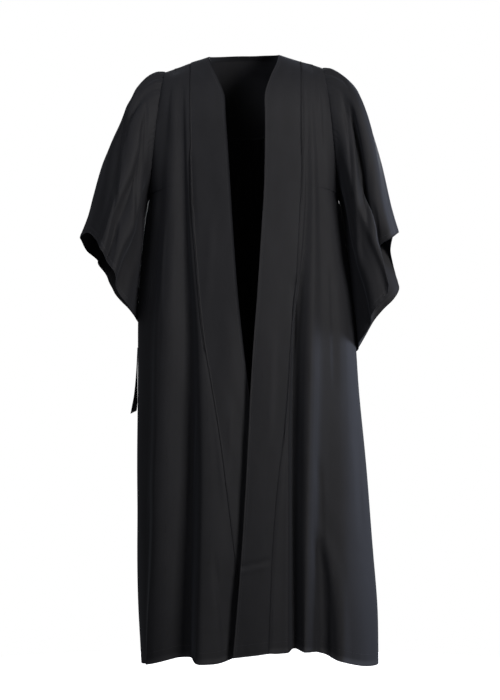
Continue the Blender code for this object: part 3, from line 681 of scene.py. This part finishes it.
def sleeve_grid(side):
    """Rings from the armhole to the cuff. Each is an oval between its top and bottom, with the folds."""
    reach, front, rear, height = edge_levels(side)
    ring = []
    for k in range(2 * ARM_STEPS):
        level = k if k <= ARM_STEPS else 2 * ARM_STEPS - k
        y = -front[level] if k <= ARM_STEPS else rear[level]
        ring.append((reach[level], y, height[level]))
    ring = np.array(ring)
    half = (ring + np.roll(ring, -1, 0)) / 2
    first = np.stack([ring, half], axis=1).reshape(-1, 3)
    turn = np.arange(4 * ARM_STEPS) * 90 / ARM_STEPS
    angle = np.radians(turn)
    start = (0, TIP_HALF, TIP_Z[side], UNDERARM_HALF, UNDERARM_Z, ARM_FRONT, ARM_BACK)
    table = [start] + SLEEVE_RINGS[side]
    cuff_rows = CUFFS[side] + [(360,) + CUFFS[side][0][1:]]
    cuff = np.stack([curve(cuff_rows, turn, i) for i in (1, 3, 2)], axis=-1)

    def oval(share):
        top_x, top_z, low_x, low_z, fore, aft = [curve(table, share, i) for i in range(1, 7)]
        x = (top_x + low_x) / 2 + (top_x - low_x) / 2 * np.cos(angle)
        z = (top_z + low_z) / 2 + (top_z - low_z) / 2 * np.cos(angle)
        y = np.where(turn <= 180, -fore, aft) * np.abs(np.sin(angle)) ** mix(1, 0.62, ease(share / 0.3))
        y = y + SLEEVE_BEHIND * ease(share / 0.22) * (0.5 - 0.5 * np.cos(angle)) ** 9
        return np.stack([x, y, z], axis=-1)

    shares = np.array(SLEEVE_ROWS)
    points = np.zeros((len(turn), len(shares), 3))
    last = oval(1.0)
    for index, share in enumerate(shares):
        points[:, index] = oval(share) + (cuff - last) * ease((share - 0.3) / 0.7) ** 1.4
    points[:, 0] = first
    points[..., 0] *= side
    outward = normals_of(points, True) * side
    depth = np.zeros(points.shape[:2])
    for t0, t1, begin, full, end, width, amount in SLEEVE_FOLDS[side]:
        path = mix(t0, t1, shares)
        offset = (turn[:, None] - path + 180) % 360 - 180
        along = ease((shares - begin) / (full - begin)) * ease((end - shares) / 0.25)
        depth += amount * along * bump(offset, width, width)
    away = np.minimum(turn, 360 - turn)[:, None]
    pleat = PLEAT_DEEP * np.cos(np.pi * np.arange(len(turn)))[:, None] * ease((58 - away) / 25)
    depth += pleat * ease(shares / 0.05) * ease((0.30 - shares) / 0.25)
    points = points + outward * depth[..., None]
    clear = SLEEVE_CLEAR * ease((UNDERARM_Z - points[..., 2]) / 9)
    clear = np.where(points[..., 2] < UNDERARM_Z, side_reach(side, points[..., 1], points[..., 2]) + clear, 0)
    points[..., 0] = side * np.maximum(side * points[..., 0], clear)
    points[:, 0] = first * np.array([side, 1, 1])
    return points


def finer(points, times, axis, closed=False):
    """The grid with that many steps for each old one along an axis, on a spline through its points.

    The spline is the Catmull-Rom one: a cubic between two points, with half the step between each
    point's neighbours as its slope there.
    """
    rows = np.moveaxis(points, axis, 0)
    count = len(rows)
    place = np.arange(count * times if closed else (count - 1) * times + 1) / times
    first = np.minimum(place.astype(int), count - 1 if closed else count - 2)
    part = (place - first)[:, None, None]
    if closed:
        a, b, c, d = (rows[(first + k) % count] for k in (-1, 0, 1, 2))
    else:
        longer = np.concatenate([[2 * rows[0] - rows[1]], rows, [2 * rows[-1] - rows[-2]]])
        a, b, c, d = (longer[first + k] for k in (0, 1, 2, 3))
    cubic = b + 0.5 * part * (c - a + part * (2 * a - 5 * b + 4 * c - d + part * (3 * (b - c) + d - a)))
    return np.moveaxis(cubic, 0, axis)


def lengths(points, axis):
    """Distance along the cloth from the grid's first row or column, in the middle of the other way."""
    step = np.linalg.norm(np.diff(points, axis=axis), axis=-1)
    step = np.mean(step, axis=1 - axis)
    return np.concatenate([[0], np.cumsum(step)])


def creases(points, table, front=True):
    """Stand of creases listed in the tables: each is a bow through three points of the front view.

    The bow is a parabola: the points weighed by squares and products of the share along it. Across it the
    stand falls off as a squared cosine, over one width on its -X side and another on its +X side, so a
    crease can be crisp on one side and soft on the other. It fades at both ends, and it lies on the front
    layer or the rear layer only.
    """
    share = np.linspace(0, 1, 121)
    rest = 1 - share

    def bow(first, middle, last):
        return first * rest ** 2 + 2 * (2 * middle - (first + last) / 2) * share * rest + last * share ** 2

    stand = np.zeros(points.shape[:2])
    fade = ease(share / 0.3) * ease(rest / 0.3)
    for x0, z0, x1, z1, x2, z2, low, high, deep in table:
        x, z = bow(x0, x1, x2), bow(z0, z1, z2)
        away = np.hypot(points[..., 0, None] - x, points[..., 2, None] - z)
        nearest = away.argmin(-1)
        steep = abs(z2 - z0) > abs(x2 - x0)
        beside = points[..., 0] - x[nearest] if steep else points[..., 2] - z[nearest]
        stand += deep * fade[nearest] * bump(np.sign(beside) * away.min(-1), low, high)
    facing = -points[..., 1] if front else points[..., 1]
    return stand * ease((facing + 12) / 30)


def ripple(points, size):
    """Slight unevenness of hanging cloth: three slow waves that run mostly down the cloth."""
    x, y, z = np.moveaxis(points, -1, 0)
    wave = np.sin(x / 19 + y / 23 + 0.9 * np.sin(z / 90))
    wave = wave + 0.7 * np.sin(x / 11 - y / 17 + z / 140 + 1.1 * np.sin(z / 61 + x / 70))
    wave = wave + 0.5 * np.sin(x / 37 + z / 47 + 0.8 * np.sin(y / 31))
    return size * wave


def line_lengths(line):
    """Distance along a line from its first point to each of its points."""
    return np.concatenate([[0], np.cumsum(np.linalg.norm(np.diff(line, axis=0), axis=-1))])


def pucker(points, edge, axis, pitch, reach, deep):
    """Small gathers beside a sewn edge: a wave along it that dies out within the reach."""
    rows = np.moveaxis(points, axis, 0)
    line = rows[edge]
    along = line_lengths(line)
    away = np.linalg.norm(rows - line[None], axis=-1)
    wave = np.cos(2 * np.pi * (along / pitch + 0.6 * np.sin(along / 41) + 0.3 * np.sin(along / 17)))
    strength = 0.6 + 0.4 * np.sin(along / 29 + 1)
    stand = deep * wave * strength * ease(1 - away / reach) * ease(away / 3)
    return np.moveaxis(stand, 0, axis)


def groove(points, edge, axis, deep, reach):
    """Cloth rolls in towards a seam: a quarter round that ends the given depth down."""
    rows = np.moveaxis(points, axis, 0)
    away = np.linalg.norm(rows - rows[edge][None], axis=-1)
    stand = -deep * (1 - np.sqrt(1 - (1 - np.clip(away / reach, 0, 1)) ** 2) ** 0.7)
    return np.moveaxis(stand, 0, axis)


def hem_line(points, edge, axis, wide, deep):
    """A turned hem: the stitched line, the hem's width from the edge, lies a little lower than the rest."""
    rows = np.moveaxis(points, axis, 0)
    away = np.linalg.norm(rows - rows[edge][None], axis=-1)
    return np.moveaxis(-deep * bump(away - wide, 2.2, 2.2), 0, axis)


def inset(points, normals, edge, axis, wide):
    """Points and normals of the line on the cloth that runs a given distance inside one of its edges."""
    rows, facing = (np.moveaxis(grid, axis, 0)[:: -1 if edge else 1] for grid in (points, normals))
    away = np.linalg.norm(rows - rows[0][None], axis=-1)
    after = np.clip((away < wide).sum(0), 1, len(rows) - 1)
    column = np.arange(rows.shape[1])
    near, far = away[after - 1, column], away[after, column]
    share = ((wide - near) / (far - near))[:, None]
    return [mix(grid[after - 1, column], grid[after, column], share) for grid in (rows, facing)]


def placed(name, data):
    """A new object that holds the data, at the scene's origin."""
    thing = bpy.data.objects.new(name, data)
    bpy.context.scene.collection.objects.link(thing)
    return thing


def mesh_of(name, vertices, faces, material, smooth=True):
    """A mesh of one material from its vertices, in metres, and the corners of its faces."""
    mesh = bpy.data.meshes.new(name)
    mesh.from_pydata(vertices.tolist(), [], faces)
    mesh.update()
    mesh.polygons.foreach_set("use_smooth", [smooth] * len(faces))
    mesh.materials.append(material)
    return mesh


def stitches(name, line, normals, material):
    """A row of sewn stitches: each a small spindle of thread along the line, half sunk in the cloth.

    A stitch has a four-sided ring at a fifth and at four fifths of its length, and a point at each end.
    """
    along = line_lengths(line)
    place = np.arange(STITCH_PITCH, along[-1] - STITCH_PITCH, STITCH_PITCH)
    samples = ((line, 0), (line, -0.3), (line, 0.3), (normals, 0))
    middle, start, end, up = [
        np.stack([np.interp(place + move, along, grid[:, i]) for i in range(3)], axis=-1)
        for grid, move in samples]
    ahead = unit(end - start)
    up = unit(up)
    beside = np.cross(up, ahead)
    turn = np.radians([45, 135, 225, 315])
    ring = np.stack([np.zeros(4), np.cos(turn), np.sin(turn)], axis=-1) * STITCH_HALF
    reach = np.array([[STITCH_REACH * STITCH_PITCH, 0, 0]])
    spindle = np.concatenate([-reach, ring - reach * 0.6, ring + reach * 0.6, reach])
    frames = np.stack([ahead, beside, up], axis=1)
    vertices = (middle + up * THICK / 2)[:, None] + np.einsum("vi,nij->nvj", spindle, frames)
    around = [1, 2, 3, 4, 1]
    faces = [[0, around[i + 1], around[i]] for i in range(4)]
    faces += [[around[i], around[i + 1], around[i + 1] + 4, around[i] + 4] for i in range(4)]
    faces += [[9, around[i] + 4, around[i + 1] + 4] for i in range(4)]
    every = [[corner + len(spindle) * number for corner in face]
             for number in range(len(place)) for face in faces]
    row = placed(name, mesh_of(name, vertices.reshape(-1, 3) * MM, every, material))
    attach(row, "root")
    return row


def shell(node, points, normals, material, closed=False, pressed=None, thick=THICK):
    """Thin closed cloth that stands for a node: the grid moved out and in by half its thickness.

    The two layers are joined round the open edges. The UV map is the distance along the cloth each way.
    """
    across, along = points.shape[:2]
    layers = np.stack([points + normals * thick / 2, points - normals * thick / 2])
    vertices = layers.reshape(-1, 3) * MM
    low = across * along
    number = np.arange(low).reshape(across, along)
    a = number if closed else number[:-1]
    b = np.roll(number, -1, 0) if closed else number[1:]
    top = np.stack([a[:, :-1], b[:, :-1], b[:, 1:], a[:, 1:]], axis=-1).reshape(-1, 4)
    rims = [(a[:, 0], b[:, 0], True), (a[:, -1], b[:, -1], False)]
    if not closed:
        rims += [(number[0, :-1], number[0, 1:], False), (number[-1, :-1], number[-1, 1:], True)]
    rim = [np.stack([p, q, q + low, p + low] if turn else [q, p, p + low, q + low], axis=-1)
           for p, q, turn in rims]
    faces = np.concatenate([top, top[:, ::-1] + low] + rim)
    corner = vertices[faces]
    volume = np.einsum("ij,ij->i", corner[:, 0], np.cross(corner[:, 1], corner[:, 2])).sum()
    volume += np.einsum("ij,ij->i", corner[:, 0], np.cross(corner[:, 2], corner[:, 3])).sum()
    if volume < 0:
        faces = faces[:, ::-1]
    name = node + "_cloth"
    mesh = mesh_of(name, vertices, faces.tolist(), material)
    u = np.broadcast_to(lengths(points, 0)[:, None], (across, along)).ravel() * MM
    v = np.broadcast_to(lengths(points, 1)[None, :], (across, along)).ravel() * MM
    place = np.stack([np.tile(u, 2), np.tile(v, 2)], axis=-1)
    loops = np.zeros(len(mesh.loops), int)
    mesh.loops.foreach_get("vertex_index", loops)
    mesh.uv_layers.new(name="cloth").uv.foreach_set("vector", place[loops].ravel())
    # Mask of the pressed seams and hems: the shader makes them smoother and paints a sheen there with a
    # lighter colour
    pressed_sheen_mask = np.zeros((across, along)) if pressed is None else pressed
    mesh.attributes.new("pressed", "FLOAT", "POINT").data.foreach_set("value", np.tile(pressed_sheen_mask.ravel(), 2))
    piece = placed(name, mesh)
    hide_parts(node)
    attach(piece, "root")
    return piece


def linear(colour):
    """An sRGB hex colour as linear red, green and blue."""
    part = np.array([int(colour[i:i + 2], 16) for i in (0, 2, 4)]) / 255
    part = np.where(part <= 0.04045, part / 12.92, ((part + 0.055) / 1.055) ** 2.4)
    return (*part.tolist(), 1.0)


def add(tree, kind, settings=(), links=()):
    """Adds one node; settings are its own properties or inputs, and links are (input, output socket)."""
    node = tree.nodes.new(kind)
    for key, value in dict(settings).items():
        if isinstance(key, str) and hasattr(node, key):
            setattr(node, key, value)
        else:
            node.inputs[key].default_value = value
    for key, output in dict(links).items():
        tree.links.new(output, node.inputs[key])
    return node


def plain_weave(name, dark, light, thread):
    """Matte black plain-woven cloth: no shine face on, a faint cool sheen at the edges of folds.

    Ironed seams and hems, where the pressed attribute is high, are smoother, with a painted sheen: a lighter
    colour.
    The threads of the real cloth are 0.3 mm apart. They are drawn wider here, so that they show.
    """
    material = bpy.data.materials.new(name)
    material.use_nodes = True
    tree = material.node_tree
    tree.nodes.clear()
    place = add(tree, "ShaderNodeUVMap", {"uv_map": "cloth"}).outputs["UV"]
    # A wave's bands repeat every pi / (10 x scale) metres: here every two threads, one over and one under
    turns = 1 / (thread * MM) / 2
    warp, weft = (add(tree, "ShaderNodeTexWave", {
        "wave_type": "BANDS", "bands_direction": way, "Scale": turns / 10 * np.pi, "Distortion": 0.4,
        "Detail": 1.0}, {"Vector": place}) for way in "XY")
    weave = add(tree, "ShaderNodeMath", {"operation": "MULTIPLY"},
                {0: warp.outputs["Fac"], 1: weft.outputs["Fac"]})
    stretched = add(tree, "ShaderNodeMapping", {"Scale": (1.0, 0.35, 1.0)}, {"Vector": place})
    mottle = add(tree, "ShaderNodeTexNoise", {"Scale": 55.0, "Detail": 3.0},
                 {"Vector": stretched.outputs["Vector"]})
    slub = add(tree, "ShaderNodeTexNoise", {"Scale": 900.0, "Detail": 2.0}, {"Vector": place})
    mixed = add(tree, "ShaderNodeMix", {"data_type": "RGBA", "A": linear(dark), "B": linear(light)},
                {"Factor": mottle.outputs["Fac"]})
    soft = add(tree, "ShaderNodeBump", {"Strength": 0.35, "Distance": 0.6 * MM},
               {"Height": mottle.outputs["Fac"]})
    rough = add(tree, "ShaderNodeBump", {"Strength": 0.25, "Distance": 0.10 * MM},
                {"Height": slub.outputs["Fac"], "Normal": soft.outputs["Normal"]})
    threads = add(tree, "ShaderNodeBump", {"Strength": 0.35, "Distance": 0.10 * MM},
                  {"Height": weave.outputs["Value"], "Normal": rough.outputs["Normal"]})
    pressed = add(tree, "ShaderNodeAttribute", {"attribute_name": "pressed"}).outputs["Fac"]
    # Painted sheen: the colour is made lighter along the pressed seams and hems; the lower roughness below is
    # real
    sheen_lightened = add(tree, "ShaderNodeMix", {"data_type": "RGBA", "B": linear("27272B")},
                 {"Factor": pressed, "A": mixed.outputs["Result"]})
    rubbed = add(tree, "ShaderNodeMapRange", {"To Min": 0.72, "To Max": 0.62}, {"Value": pressed})
    shader = add(tree, "ShaderNodeBsdfPrincipled", {
        "IOR": 1.45, "Specular IOR Level": 0.3, "Sheen Weight": 0.12, "Sheen Roughness": 0.45,
        "Sheen Tint": linear("C4CCDC")}, {
        "Base Color": sheen_lightened.outputs["Result"], "Roughness": rubbed.outputs["Result"],
        "Normal": threads.outputs["Normal"]})
    add(tree, "ShaderNodeOutputMaterial", {"is_active_output": True}, {"Surface": shader.outputs["BSDF"]})
    return material


def sewing_thread():
    """Black spun polyester thread: a little lighter and smoother than the cloth, twisted along its length."""
    material = bpy.data.materials.new("black_spun_thread")
    material.use_nodes = True
    tree = material.node_tree
    shader = tree.nodes["Principled BSDF"]
    shader.inputs["Roughness"].default_value = 0.5
    place = add(tree, "ShaderNodeTexCoord").outputs["Object"]
    fuzz = add(tree, "ShaderNodeTexNoise", {"Scale": 1400.0, "Detail": 2.0}, {"Vector": place})
    mixed = add(tree, "ShaderNodeMix", {"data_type": "RGBA", "A": linear("202024"), "B": linear("34343A")},
                {"Factor": fuzz.outputs["Fac"]})
    tree.links.new(mixed.outputs["Result"], shader.inputs["Base Color"])
    twist = add(tree, "ShaderNodeBump", {"Strength": 0.4, "Distance": 0.10 * MM},
                {"Height": fuzz.outputs["Fac"]})
    tree.links.new(twist.outputs["Normal"], shader.inputs["Normal"])
    return material


def pale_floor():
    """White painted studio floor, matte. It glows towards its rim, so that it meets the white surround."""
    material = bpy.data.materials.new("white_studio_floor")
    material.use_nodes = True
    tree = material.node_tree
    shader = tree.nodes["Principled BSDF"]
    shader.inputs["Base Color"].default_value = linear("F0F0F0")
    shader.inputs["Roughness"].default_value = 0.9
    shader.inputs["Emission Color"].default_value = (1, 1, 1, 1)
    place = add(tree, "ShaderNodeTexCoord").outputs["Object"]
    away = add(tree, "ShaderNodeVectorMath", {"operation": "LENGTH"}, {0: place})
    glow = add(tree, "ShaderNodeMapRange", {
        "From Min": FLOOR_DARK, "From Max": FLOOR_REACH, "To Min": 0.3, "To Max": 0.8},
        {"Value": away.outputs["Value"]})
    tree.links.new(glow.outputs["Result"], shader.inputs["Emission Strength"])
    return material


def with_allowance(points, outward):
    """The grid with one more row at its top: the cloth runs on past the seam, under the next piece."""
    turned_in = points[:, 0] + unit(points[:, 0] - points[:, 2]) * ALLOWANCE - outward[:, 0] * ALLOWANCE_DROP
    return np.concatenate([turned_in[:, None], points], axis=1)


def fronts_and_bands(cloth, thread):
    """Each front and its band, whose edge stands proud of the front by a small step.

    The front runs on by one grid step under the band's edge, and both run on under the yoke.
    """
    for side, word in SIDE_WORDS:
        points = finer(finer(front_grid(side), FRONT_ACROSS, 0), DOWN, 1)
        seam = BAND_COLUMNS * FRONT_ACROSS
        outward = normals_of(points, False) * -side
        stand = creases(points, FRONT_CREASES[side]) + ripple(points, RIPPLE)
        pressed = hem_line(points, 0, 0, EDGE_STITCH, EDGE_DIP) + hem_line(points, -1, 1, HEM_WIDE, HEM_DIP)
        stand += pressed + pucker(points, -1, 1, *HEM_PUCKER)
        away = np.linalg.norm(points - points[seam][None], axis=-1)
        raised = BAND_PROUD[side] * ease(1 - away / BAND_ROLL)
        covered = np.arange(len(points))[:, None] < seam
        lowered = -FRONT_SUNK * np.where(covered, 1, ease(1 - away / SUNK_REACH))
        for kind, columns, step in (("band", slice(0, seam + 1), raised),
                                    ("front", slice(seam - 1, None), lowered)):
            name = kind + "_" + word
            grid = (points + outward * (stand + step)[..., None])[columns]
            grid = with_allowance(grid, outward[columns])
            # Where the hem and edge lines dip: smoother there, with a painted sheen in the colour
            pressed_sheen_mask = np.clip(-pressed[columns], 0, 1)
            pressed_sheen_mask = np.concatenate([pressed_sheen_mask[:, :1], pressed_sheen_mask], axis=1)
            if kind == "band":
                grid = finer(grid, BAND_DOWN, 1)
                pressed_sheen_mask = finer(pressed_sheen_mask[..., None], BAND_DOWN, 1)[..., 0]
                grid = grid + normals_of(grid, False) * -side * creases(grid, BAND_CREASES[side])[..., None]
            facing = normals_of(grid, False) * -side
            piece = shell(name, grid, facing, cloth, pressed=pressed_sheen_mask)
            rows = [stitches(name + "_hem_stitches", *inset(grid, facing, -1, 1, HEM_WIDE), thread)]
            if kind == "band":
                rows.append(stitches(name + "_edge_stitches", *inset(grid, facing, 0, 0, EDGE_STITCH), thread))


def yoke_and_back(cloth, thread):
    """The yoke, and the back gathered under it: both roll in to their seam."""
    coarse = yoke_grid()
    below = back_grid(coarse[:, -1])
    yoke = finer(finer(coarse, YOKE_ACROSS, 0), DOWN, 1)
    outward = normals_of(yoke, False)
    pressed = groove(yoke, -1, 1, *SEAM_ROLL) + hem_line(yoke, -1, 1, EDGE_STITCH, EDGE_DIP)
    yoke = yoke + outward * (ripple(yoke, YOKE_RIPPLE) + pressed)[..., None]
    normals = normals_of(yoke, False)
    piece = shell("yoke", yoke, normals, cloth, pressed=np.clip(-pressed, 0, 1))
    stitches("yoke_seam_stitches", *inset(yoke, normals, -1, 1, EDGE_STITCH), thread)
    back = finer(finer(below, BACK_ACROSS, 0), DOWN, 1)
    outward = normals_of(back, False)
    pressed = groove(back, 0, 1, *SEAM_ROLL) + hem_line(back, -1, 1, HEM_WIDE, HEM_DIP)
    stand = ripple(back, RIPPLE) + creases(back, BACK_CREASES, False) + pucker(back, -1, 1, *HEM_PUCKER)
    back = back + outward * (stand + pressed)[..., None]
    normals = normals_of(back, False)
    piece = shell("back", back, normals, cloth, pressed=np.clip(-2 * pressed, 0, 1))
    stitches("back_hem_stitches", *inset(back, normals, -1, 1, HEM_WIDE), thread)


def sleeves(cloth, thread):
    """Each sleeve, with its gathered head, its cuff and an allowance under the edge of the armhole."""
    for side, word in SIDE_WORDS:
        name = "sleeve_" + word
        points = finer(finer(sleeve_grid(side), SLEEVE_ACROSS, 0, True), SLEEVE_DOWN, 1)
        outward = normals_of(points, True) * side
        pressed = groove(points, 0, 1, *HEAD_ROLL) + hem_line(points, -1, 1, CUFF_WIDE, CUFF_DIP)
        stand = creases(points, SLEEVE_CREASES[side]) + creases(points, REAR_SLEEVE_CREASES[side], False)
        gathers = (ripple(points, SLEEVE_RIPPLE) + pucker(points, -1, 1, *CUFF_PUCKER)
                   + pucker(points, 0, 1, *HEAD_PUCKER))
        stand += gathers
        points = points + outward * (stand + pressed)[..., None]
        points = with_allowance(points, outward)
        pressed = np.concatenate([pressed[:, :1], pressed], axis=1)
        normals = normals_of(points, True) * side
        piece = shell(name, points, normals, cloth, True, np.clip(-2 * pressed, 0, 1))
        line, facing = (np.concatenate([row, row[:1]]) for row in inset(points, normals, -1, 1, CUFF_WIDE))
        stitches(name + "_cuff_stitches", line, facing, thread)


def tape(cloth):
    """The tape's outer edge hangs down the side seam; its width turns from fore-and-aft to the front."""
    share = np.linspace(0, 1, 33)
    reach, height, turn = (curve(TAPE, share, i) for i in (1, 2, 3))
    turn = np.radians(turn)
    outer = np.stack([-reach, np.full(len(share), TAPE_DEPTH), height], axis=-1)
    inner = outer + np.stack([np.sin(turn), np.cos(turn), np.zeros(len(share))], axis=-1) * TAPE_WIDTH
    inner[-8:, 2] += TAPE_SLANT * np.linspace(0, 1, 8)
    points = np.stack([mix(outer, inner, k) for k in np.linspace(0, 1, 9)])
    piece = shell("side_tape", points, normals_of(points, False), cloth, thick=TAPE_THICK)


def camera():
    """A level camera; its sensor's longer side, which is upright, takes in the height shown."""
    data = bpy.data.cameras.new("camera")
    data.sensor_width = SENSOR
    data.lens = SENSOR * -CAMERA_PLACE[1] / CAMERA_SHOWS
    seen = placed("camera", data)
    seen.location = CAMERA_PLACE
    seen.rotation_euler = (np.pi / 2, 0, 0)
    bpy.context.scene.camera = seen


def lamp(name, place, aim, size, power, colour):
    """A square soft box of the given size and power, turned towards a point, that isn't seen itself."""
    data = bpy.data.lights.new(name, "AREA")
    data.energy = power
    data.size = size
    data.color = linear(colour)[:3]
    box = placed(name, data)
    box.location = place
    box.rotation_euler = (Vector(aim) - Vector(place)).to_track_quat("-Z", "Y").to_euler()
    box.visible_camera = False


def studio():
    """A round white floor below the gown, an even white surround and the soft lights."""
    world = bpy.data.worlds.new("surround")
    bpy.context.scene.world = world
    world.use_nodes = True
    tree = world.node_tree
    tree.nodes.clear()
    seen = add(tree, "ShaderNodeLightPath").outputs["Is Camera Ray"]
    strength = add(tree, "ShaderNodeMapRange", {"To Min": 0.08, "To Max": 1.0}, {"Value": seen})
    sky = add(tree, "ShaderNodeBackground", {"Color": (1, 1, 1, 1)}, {"Strength": strength.outputs["Result"]})
    add(tree, "ShaderNodeOutputWorld", {}, {"Surface": sky.outputs["Background"]})
    turn = np.radians(np.arange(FLOOR_SIDES) * 360 / FLOOR_SIDES)
    ring = np.stack([FLOOR_REACH * np.cos(turn), FLOOR_REACH * np.sin(turn), np.full(FLOOR_SIDES, FLOOR_Z)],
                    axis=-1)
    floor = placed("floor", mesh_of("floor", ring, [list(range(FLOOR_SIDES))], pale_floor(), False))
    floor.visible_diffuse = floor.visible_glossy = False
    for row in LAMPS:
        lamp(*row)
    bpy.context.scene.view_settings.view_transform = "Standard"


camera()
gown_cloth = plain_weave("matte_woven_polyester", "1C1C1F", "232327", 0.8)
tape_cloth = plain_weave("woven_cotton_tape", "18181B", "1F1F22", 1.0)
black_thread = sewing_thread()
fronts_and_bands(gown_cloth, black_thread)
yoke_and_back(gown_cloth, black_thread)
sleeves(gown_cloth, black_thread)
tape(tape_cloth)
studio()

bpy.context.view_layer.update()
